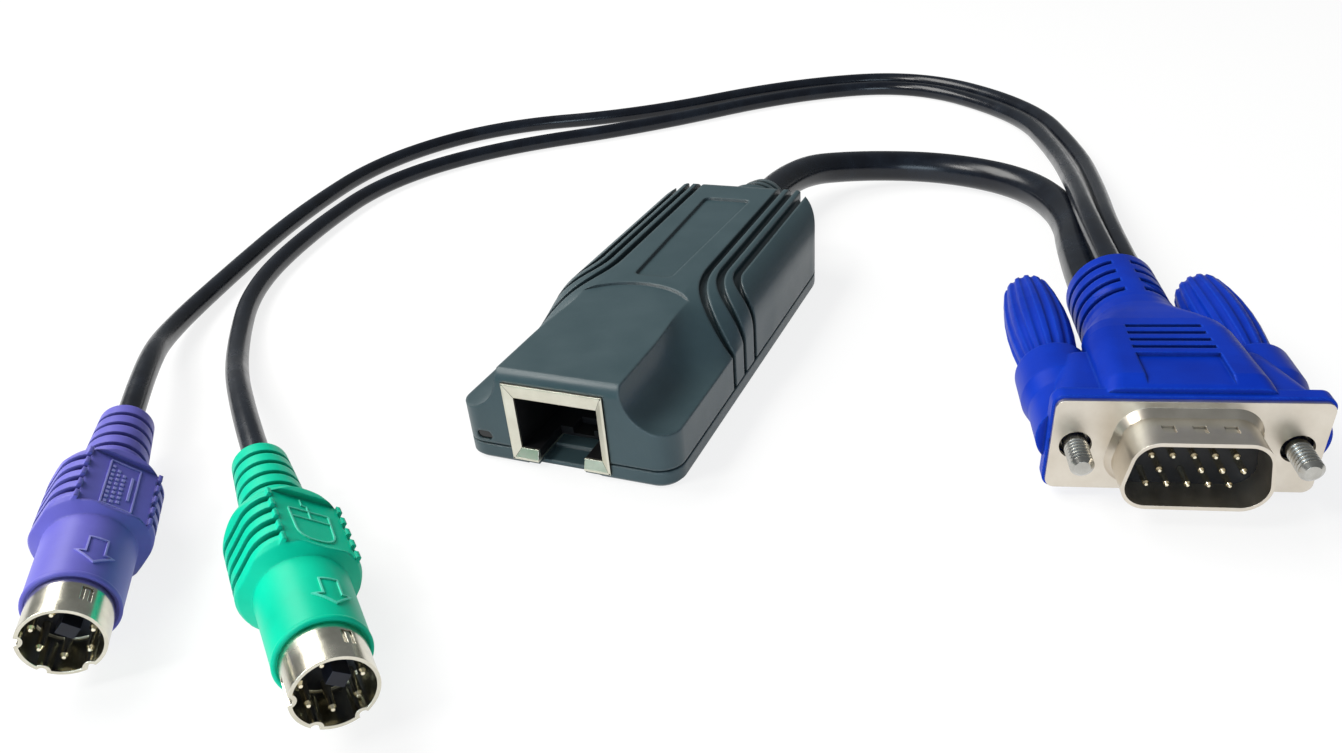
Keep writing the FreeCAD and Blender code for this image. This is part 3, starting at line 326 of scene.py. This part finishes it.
lip = bmesh.new()
lip_front = SHIELD_FRONT - LIP_PROUD
lip_back = SHIELD_FRONT + LIP_DEEP
bar(lip, (SHIELD_X - SHIELD_HALF, lip_front, SHIELD_HIGH - LIP_WIDE),
    (SHIELD_X + SHIELD_HALF, lip_back, SHIELD_HIGH), LIP_SOFT)
for side in (-1, 1):
    edge_x = SHIELD_X + side * SHIELD_HALF
    upright_x = edge_x - side * LIP_WIDE
    latch_x = SHIELD_X + side * (LATCH_HALF + LATCH_GAP)
    for inner_x, top in ((upright_x, SHIELD_HIGH), (latch_x, SHIELD_LOW + LIP_WIDE)):
        bar(lip, (min(edge_x, inner_x), lip_front, SHIELD_LOW), (max(edge_x, inner_x), lip_back, top), LIP_SOFT)
set_piece("jack_folded_lip", lip, MILLIMETRES, bright_nickel)


# The pod's two covers, moulded in slate-grey plastic with a fine spark texture. Two screws from
# below hold them on the board; a smoked light pipe shows the board's lamp beside the jack.
slate = moulding(
    "slate_moulding", dark=(0.034, 0.063, 0.073), light=(0.044, 0.076, 0.087), worn=(0.081, 0.116, 0.127),
    gloss=(0.33, 0.43), reflect=0.42, grain=3600.0, depth=0.000018, radius=0.0006)
for node in ("top_cover", "bottom_cover", "cable_gland"):
    put_on(node, slate)
put_on("cover_screws", plated(
    "zinc_screw", dark=(0.46, 0.47, 0.48), light=(0.62, 0.63, 0.64),
    gloss=(0.22, 0.38), grain=2400.0, radius=0.0001))
put_on("led_light_pipe", moulding(
    "smoked_clear", dark=(0.004, 0.005, 0.005), light=(0.010, 0.012, 0.012), worn=(0.03, 0.03, 0.03),
    gloss=(0.08, 0.18), reflect=0.5, grain=800.0, depth=0.000004, radius=0.0001))


# The blue video plug. A drawn, tinned steel plate with its D shell holds a black insulator and
# fourteen turned pins; a cream inner mould and the blue hood are moulded over it, and two steel
# thumbscrews with blue knobs turn in the hood's side sleeves.
VIDEO_PLUG_AT = Vector((0.0765, -0.0225, 0.008))
VIDEO_PLUG_TURN = Matrix.Rotation(math.radians(14.0), 3, "Z")
SLEEVE_END = 0.044

blue = moulding(
    "blue_moulding", dark=(0.001, 0.024, 0.34), light=(0.002, 0.034, 0.43), worn=(0.008, 0.07, 0.58),
    gloss=(0.36, 0.46), reflect=0.12, grain=3200.0, depth=0.000012, radius=0.0005)
for node in ("vga_hood", "thumbscrew_left_knob", "thumbscrew_right_knob"):
    put_on(node, blue)
put_on("vga_inner_mould", cream)
tinned = plated(
    "tinned_plate", dark=(0.66, 0.60, 0.51), light=(0.74, 0.68, 0.59),
    gloss=(0.30, 0.38), grain=2400.0, radius=0.00006)
put_on("vga_shell", tinned)
black_insulator = moulding(
    "insulator_black", dark=(0.006, 0.006, 0.008), light=(0.012, 0.012, 0.014), worn=(0.03, 0.03, 0.03),
    gloss=(0.35, 0.5), reflect=0.35, grain=3000.0, depth=0.00001, radius=0.0001)
put_on("vga_insulator", black_insulator)
pin_metal = plated(
    "pin_plate", dark=(0.80, 0.72, 0.52), light=(0.92, 0.85, 0.66),
    gloss=(0.14, 0.24), grain=3200.0, radius=0.00005)
put_on("vga_pins", pin_metal)
screw_steel = plated(
    "screw_steel", dark=(0.42, 0.41, 0.38), light=(0.58, 0.57, 0.53),
    gloss=(0.20, 0.30), grain=2600.0, radius=0.00003)
for node in ("thumbscrew_left_shank", "thumbscrew_right_shank"):
    put_on(node, screw_steel)


def on_video_plug(x, y, z):
    """A point given in the video plug's own metres, set in its place on the table."""
    return VIDEO_PLUG_AT + VIDEO_PLUG_TURN @ Vector((x, y, z))


# The picture cord, a stranded lead in a thick soft black jacket. It is moulded into the pod's
# gland at one end and into the blue plug's ringed sleeve at the other.
def jacket(name):
    """Soft black jacket: smooth and a little glossy, with a faint speckled texture and some dust."""
    finish, nodes, links, shader, place = start_finish(name, 0.0, 0.4)
    dust = patches(nodes, links, place, 190.0, 6.0)
    speck = patches(nodes, links, place, 2400.0, 2.0)
    dusty = between(nodes, links, dust, 0.42, 0.72, 0.0, 1.0)
    colour = blended(nodes, links, dusty, (0.003, 0.0045, 0.009), (0.007, 0.011, 0.019))
    links.new(colour, shader.inputs["Base Color"])
    links.new(between(nodes, links, dust, 0.3, 0.7, 0.18, 0.30), shader.inputs["Roughness"])
    bump = nodes.new("ShaderNodeBump")
    bump.inputs["Strength"].default_value = 0.3
    bump.inputs["Distance"].default_value = 0.00002
    links.new(speck, bump.inputs["Height"])
    links.new(bump.outputs["Normal"], shader.inputs["Normal"])
    return finish


def mm(*points):
    """Points given in millimetres."""
    return [Vector(point) / 1000 for point in points]


def lay_cord(name, node, route, radius):
    """A smooth cord through the route's points, standing for its plain tube."""
    curve = bpy.data.curves.new(name, "CURVE")
    curve.dimensions = "3D"
    curve.bevel_depth = radius
    curve.bevel_resolution = 8
    curve.resolution_u = 24
    curve.use_fill_caps = True
    spline = curve.splines.new("NURBS")
    spline.points.add(len(route) - 1)
    for point, place in zip(spline.points, route):
        point.co = (*place, 1.0)
    spline.order_u = 3
    spline.use_endpoint_u = True
    cord = bpy.data.objects.new(name, curve)
    bpy.context.scene.collection.objects.link(cord)
    curve.materials.append(black_jacket)
    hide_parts(node)
    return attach(cord, "dongle")


black_jacket = jacket("black_jacket")
picture_route = mm((0, 50, 7.4), (0, 67.5, 7.4), (11.6, 82.4, 4.6), (29.8, 87.3, 3.5), (47.2, 80.2, 3.4),
                   (57, 63.4, 3.6))
picture_route += [on_video_plug(-0.0014, SLEEVE_END + back, -0.0024) for back in (0.017, 0.0)]
picture_cord = lay_cord("picture_cord", "video_cable", picture_route, radius=0.0032)


# The two round plugs, purple for the keyboard and green for the mouse, moulded over drawn steel
# shells. A raised arrow on each collar shows which way up it goes in, and a raised pictogram in
# the grip's sunk panel says which device it is for. Sizes here are in millimetres, mouth at y = 0.
PLUG_LENGTH = 48.0
COLLAR_RADIUS = 5.12
COLLAR_SINK = 0.02
PANEL_FLOOR = 5.3
PANEL_SINK = 0.01
SIGN_RISE = 0.16
ARROW_RISE = 0.24
STROKE = 0.2
STROKE_SOFT = 0.05

warm_nickel = plated(
    "warm_nickel", dark=(0.60, 0.57, 0.47), light=(0.76, 0.73, 0.62),
    gloss=(0.16, 0.28), grain=2600.0, radius=0.00012)
grey_blue_key = moulding(
    "insert_black", dark=(0.005, 0.006, 0.011), light=(0.011, 0.013, 0.024), worn=(0.05, 0.06, 0.1),
    gloss=(0.35, 0.5), reflect=0.35, grain=3000.0, depth=0.00001, radius=0.0001)
purple = moulding(
    "purple_moulding", dark=(0.13, 0.12, 0.50), light=(0.16, 0.15, 0.58), worn=(0.22, 0.21, 0.70),
    gloss=(0.34, 0.44), reflect=0.16, grain=3200.0, depth=0.000012, radius=0.0004)
green = moulding(
    "green_moulding", dark=(0.0, 0.52, 0.31), light=(0.0, 0.61, 0.37), worn=(0.01, 0.72, 0.48),
    gloss=(0.34, 0.44), reflect=0.12, grain=3200.0, depth=0.000012, radius=0.0004)
# Lighter copies of the two mouldings for the raised arrows and pictograms: painted highlight on the raised
# marks.
purple_painted_highlight = moulding(
    "purple_painted_highlight", dark=(0.24, 0.23, 0.66), light=(0.32, 0.31, 0.74), worn=(0.40, 0.39, 0.82),
    gloss=(0.3, 0.42), reflect=0.3, grain=3200.0, depth=0.000008, radius=0.00004)
green_painted_highlight = moulding(
    "green_painted_highlight", dark=(0.06, 0.64, 0.45), light=(0.12, 0.72, 0.54), worn=(0.2, 0.8, 0.64),
    gloss=(0.3, 0.42), reflect=0.3, grain=3200.0, depth=0.000008, radius=0.00004)


def raised_line(form, corners, roundings, wide, rise):
    """Adds a closed raised line round the corners, flat on z = 0; roundings pairs a radius with corners."""
    line = bmesh.new()
    line.faces.new([line.verts.new((x, y, 0)) for x, y in corners])
    ends = list(line.verts)
    for radius, picked in roundings:
        bmesh.ops.bevel(line, geom=[ends[i] for i in picked], offset=radius, affect="VERTICES", segments=5,
                        profile=0.5, material=-1)
    line.normal_update()
    ring = bmesh.ops.inset_region(line, faces=line.faces[:], thickness=wide, use_boundary=True,
                                  use_even_offset=True)
    middle = [face for face in line.faces if face not in ring["faces"]]
    bmesh.ops.delete(line, geom=middle, context="FACES")
    raised = bmesh.ops.extrude_face_region(line, geom=line.faces[:], use_keep_orig=True)
    lifted = [item for item in raised["geom"] if isinstance(item, bmesh.types.BMVert)]
    bmesh.ops.translate(line, vec=(0, 0, rise), verts=lifted)
    bmesh.ops.recalc_face_normals(line, faces=line.faces[:])
    holder = bpy.data.meshes.new("line")
    line.to_mesh(holder)
    line.free()
    form.from_mesh(holder)
    bpy.data.meshes.remove(holder)


def keyboard_sign():
    """Outline of a keyboard with three rows of keys and a space bar."""
    row_pitch, key_pitch = 0.72, 0.98
    key_wide, key_long, key_rise = 0.4, 0.56, SIGN_RISE * 0.8
    sign = bmesh.new()
    corners = [(-1.85, 19.1), (2.05, 19.1), (2.05, 28.9), (-1.85, 28.9)]
    raised_line(sign, corners, [(0.2, (0, 1, 2, 3))], STROKE, SIGN_RISE)
    for row, row_start in enumerate((19.8, 20.1, 20.4)):
        x = -1.25 + row_pitch * row
        for key in range(9 - row):
            y = row_start + key_pitch * key
            bar(sign, (x - key_wide / 2, y - key_long / 2, 0), (x + key_wide / 2, y + key_long / 2, key_rise),
                STROKE_SOFT)
    bar(sign, (1.05, 21.4, 0), (1.4, 26.6, SIGN_RISE), 0.06)
    return sign


def mouse_sign():
    """Outline of a two-button mouse with its tail."""
    sign = bmesh.new()
    corners = [(-2.3, 20.0), (2.3, 20.0), (2.6, 26.6), (-2.6, 26.6)]
    raised_line(sign, corners, [(1.9, (0, 1)), (0.4, (2, 3))], STROKE, SIGN_RISE)
    buttons_edge = ((-2.5, 24.6), (2.5, 24.8))
    between_buttons = ((-0.1, 24.7), (0.1, 26.6))
    tail = ((-0.1, 26.5), (0.1, 27.6)), ((-0.7, 27.5), (0.1, 27.7)), ((-0.7, 27.5), (-0.5, 29.0))
    for low, high in (buttons_edge, between_buttons, *tail):
        bar(sign, (*low, 0), (*high, SIGN_RISE), STROKE_SOFT)
    return sign


def collar_arrow():
    """Raised outline of an arrow that points to the mouth, laid round the collar."""
    middle, head_half, stem_half = -0.5, 2.2, 1.1
    tip, neck, foot = 7.9, 9.9, 12.6
    stem_right, stem_left = middle + stem_half, middle - stem_half
    arrow = bmesh.new()
    corners = [(middle, tip), (middle + head_half, neck), (stem_right, neck), (stem_right, foot),
               (stem_left, foot), (stem_left, neck), (middle - head_half, neck)]
    raised_line(arrow, corners, [], STROKE, ARROW_RISE)
    for cut_x in (-2.1, -1.5, -0.9, -0.3, 0.3, 0.9):
        bmesh.ops.bisect_plane(arrow, geom=arrow.verts[:] + arrow.edges[:] + arrow.faces[:],
                               plane_co=(cut_x, 0, 0), plane_no=(1, 0, 0))
    for vert in arrow.verts:
        angle = vert.co.x / COLLAR_RADIUS
        radius = COLLAR_RADIUS - COLLAR_SINK + vert.co.z
        vert.co = (radius * math.sin(angle), vert.co.y, radius * math.cos(angle))
    return arrow


def collar_lip():
    """Rolled lip round the collar's mouth; its outline is given as radius and place along the plug."""
    lip = bmesh.new()
    outline = ((4.62, 5.9), (4.66, 5.62), (4.84, 5.5), (5.06, 5.56), (5.16, 5.78), (5.14, 6.1), (5.0, 6.3))
    ring = [lip.verts.new((radius, along, 0)) for radius, along in outline]
    edges = [lip.edges.new(pair) for pair in zip(ring, ring[1:] + ring[:1])]
    bmesh.ops.spin(lip, geom=ring + edges, cent=(0, 0, 0), axis=(0, 1, 0), angle=2 * math.pi, steps=64,
                   use_merge=True)
    return lip


def round_plug(side, at, heading, roll, lift, colour, lightened, sign):
    """Finishes one plug's nodes, and sets its sign, arrow and lip on it; returns the plug's place."""
    aim = Matrix.Rotation(math.radians(heading - 90), 4, "Z")
    tilt = Matrix.Rotation(math.radians(roll), 4, "Y")
    place = Matrix.Translation(Vector((*at, lift)) / 1000) @ aim @ tilt @ MILLIMETRES
    put_on(side + "_plug_grip", colour)
    put_on(side + "_plug_shell", warm_nickel)
    put_on(side + "_plug_insert", grey_blue_key)
    put_on(side + "_plug_pins", pin_metal)
    on_panel = place @ Matrix.Translation((0, 0, PANEL_FLOOR - PANEL_SINK))
    # The sign and arrow take the lighter copy of the plug's moulding, a painted highlight on the raised marks.
    set_piece(side + "_sign", sign, on_panel, lightened)
    set_piece(side + "_arrow", collar_arrow(), place, lightened)
    for face in set_piece(side + "_collar_lip", collar_lip(), place, colour).data.polygons:
        face.use_smooth = True
    return place


keyboard_place = round_plug("keyboard", at=(-32.8, -91.9), heading=129.0, roll=45.0, lift=6.96023,
                            colour=purple, lightened=purple_painted_highlight, sign=keyboard_sign())
mouse_place = round_plug("mouse", at=(0.9, -88.2), heading=140.0, roll=40.0, lift=6.92911,
                         colour=green, lightened=green_painted_highlight, sign=mouse_sign())


# The two thin cords, in the same black jacket. Both leave the blue plug's sleeve beside the
# picture cord, go round behind the pod, and end moulded into the round plugs' sleeves.
def behind(place, back):
    """A point on a round plug's axis, so many millimetres behind its sleeve's end."""
    return place @ Vector((0, PLUG_LENGTH + back, 0))


mouse_route = [on_video_plug(0.0002, SLEEVE_END + back, 0.0032) for back in (0.0, 0.02)]
mouse_route += mm((57, 68.4, 8), (50.9, 101.5, 3.6), (39.5, 135, 1.9), (8, 161, 1.9), (-24, 147, 1.9),
                  (-54, 112, 1.9), (-86, 88, 1.9), (-101, 60, 1.9), (-97.6, 28, 1.9), (-89.4, -1, 1.9),
                  (-72, -24.5, 2.2))
mouse_route += [behind(mouse_place, 20.0), behind(mouse_place, 0.0)]
keyboard_route = [on_video_plug(0.0038, SLEEVE_END + back, 0.0013) for back in (0.0, 0.02)]
keyboard_route += mm((61.2, 70.4, 6), (55.7, 103.5, 2.8), (42, 142, 1.9), (8, 170, 1.9), (-27, 157, 1.9),
                     (-60, 122, 1.9), (-96, 106, 1.9), (-112, 74, 1.9), (-108, 36, 1.9), (-98.5, 2, 1.9),
                     (-89, -23, 3))
keyboard_route += [behind(keyboard_place, 19.5), behind(keyboard_place, 0.0)]
for side, route, length in (("mouse", mouse_route, 0.446), ("keyboard", keyboard_route, 0.463)):
    cord = lay_cord(side + "_cord", side + "_cable", route, radius=0.0018)


# The table, lamps and camera: a plain white table top, a large soft lamp above to the left, a
# smaller one in front of it, and a low cool one in front that lights the plugs' faces.
def plain_table():
    """White paper, six metres across, that shows as plain white and still takes the shadows."""
    mesh = bpy.data.meshes.new("table_top")
    top = bmesh.new()
    bmesh.ops.create_grid(top, x_segments=1, y_segments=1, size=3.0)
    top.to_mesh(mesh)
    top.free()
    table = bpy.data.objects.new("table_top", mesh)
    bpy.context.scene.collection.objects.link(table)
    paper, nodes, links, shader, place = start_finish("white_paper", 0.0, 0.2)
    fibre = patches(nodes, links, place, 500.0, 4.0)
    white = blended(nodes, links, fibre, (0.84, 0.84, 0.84), (0.87, 0.87, 0.87))
    links.new(white, shader.inputs["Base Color"])
    shader.inputs["Roughness"].default_value = 0.9
    seen = nodes.new("ShaderNodeLightPath")
    shown = seen.outputs["Is Camera Ray"]
    for ray in ("Is Glossy Ray", "Is Transmission Ray"):
        either = nodes.new("ShaderNodeMath")
        either.operation = "MAXIMUM"
        links.new(shown, either.inputs[0])
        links.new(seen.outputs[ray], either.inputs[1])
        shown = either.outputs["Value"]
    glow = nodes.new("ShaderNodeEmission")
    glow.inputs["Strength"].default_value = 1.04
    both = nodes.new("ShaderNodeMixShader")
    links.new(between(nodes, links, shown, 0.0, 1.0, 0.0, 0.8), both.inputs["Fac"])
    links.new(shader.outputs["BSDF"], both.inputs[1])
    links.new(glow.outputs["Emission"], both.inputs[2])
    links.new(both.outputs["Shader"], nodes["Material Output"].inputs["Surface"])
    mesh.materials.append(paper)


def lamp(name, place, aim, size, power, colour):
    """A soft rectangular lamp at its place, turned to what it is aimed at."""
    light = bpy.data.lights.new(name, "AREA")
    light.shape = "RECTANGLE"
    light.size, light.size_y = size
    light.energy = power
    light.color = colour
    holder = bpy.data.objects.new(name, light)
    bpy.context.scene.collection.objects.link(holder)
    holder.location = place
    holder.rotation_mode = "QUATERNION"
    holder.rotation_quaternion = (Vector(aim) - Vector(place)).to_track_quat("-Z", "Y")


plain_table()
world = bpy.data.worlds.new("studio")
bpy.context.scene.world = world
world.use_nodes = True
sky = world.node_tree.nodes["Background"]
sky.inputs["Color"].default_value = (0.92, 0.97, 1.0, 1)
sky.inputs["Strength"].default_value = 0.22
lamp("overhead", place=(-0.50, 0.06, 0.56), aim=(0.0, 0.0, 0.0), size=(0.5, 0.45), power=5.6,
     colour=(1.0, 0.985, 0.95))
lamp("left_front", place=(-0.36, -0.40, 0.58), aim=(0.0, -0.04, 0.0), size=(0.2, 0.24), power=2.8,
     colour=(1.0, 0.98, 0.94))
lamp("front_fill", place=(0.16, -0.85, 0.20), aim=(0.03, -0.02, 0.0), size=(0.5, 0.3), power=3.0,
     colour=(0.70, 0.86, 1.0))

IMAGE_WIDTH = 1342
FOCAL_LENGTH = 1020.5
VIEW_DROP = 73.5
FILM_WIDTH = 36.0
CAMERA_AT = (0.0635, -0.1387, 0.0795)
CAMERA_ANGLES = (33.3, -25.3, -5.1)

camera_data = bpy.data.cameras.new("camera")
camera = bpy.data.objects.new("camera", camera_data)
bpy.context.scene.collection.objects.link(camera)
pitch, yaw, roll = (math.radians(angle) for angle in CAMERA_ANGLES)
ahead = Vector((math.sin(yaw) * math.cos(pitch), math.cos(yaw) * math.cos(pitch), -math.sin(pitch)))
level = Vector((math.cos(yaw), -math.sin(yaw), 0.0))
upright = level.cross(ahead)
right = level * math.cos(roll) + upright * math.sin(roll)
up = upright * math.cos(roll) - level * math.sin(roll)
camera_turn = Matrix((right, up, -ahead)).transposed()
camera.matrix_world = Matrix.Translation(CAMERA_AT) @ camera_turn.to_4x4()
camera_data.sensor_width = FILM_WIDTH
camera_data.lens = FILM_WIDTH * FOCAL_LENGTH / IMAGE_WIDTH
camera_data.shift_y = VIEW_DROP / IMAGE_WIDTH
camera_data.clip_start = 0.005
camera_data.clip_end = 20.0
bpy.context.scene.camera = camera
bpy.context.scene.view_settings.view_transform = "Standard"
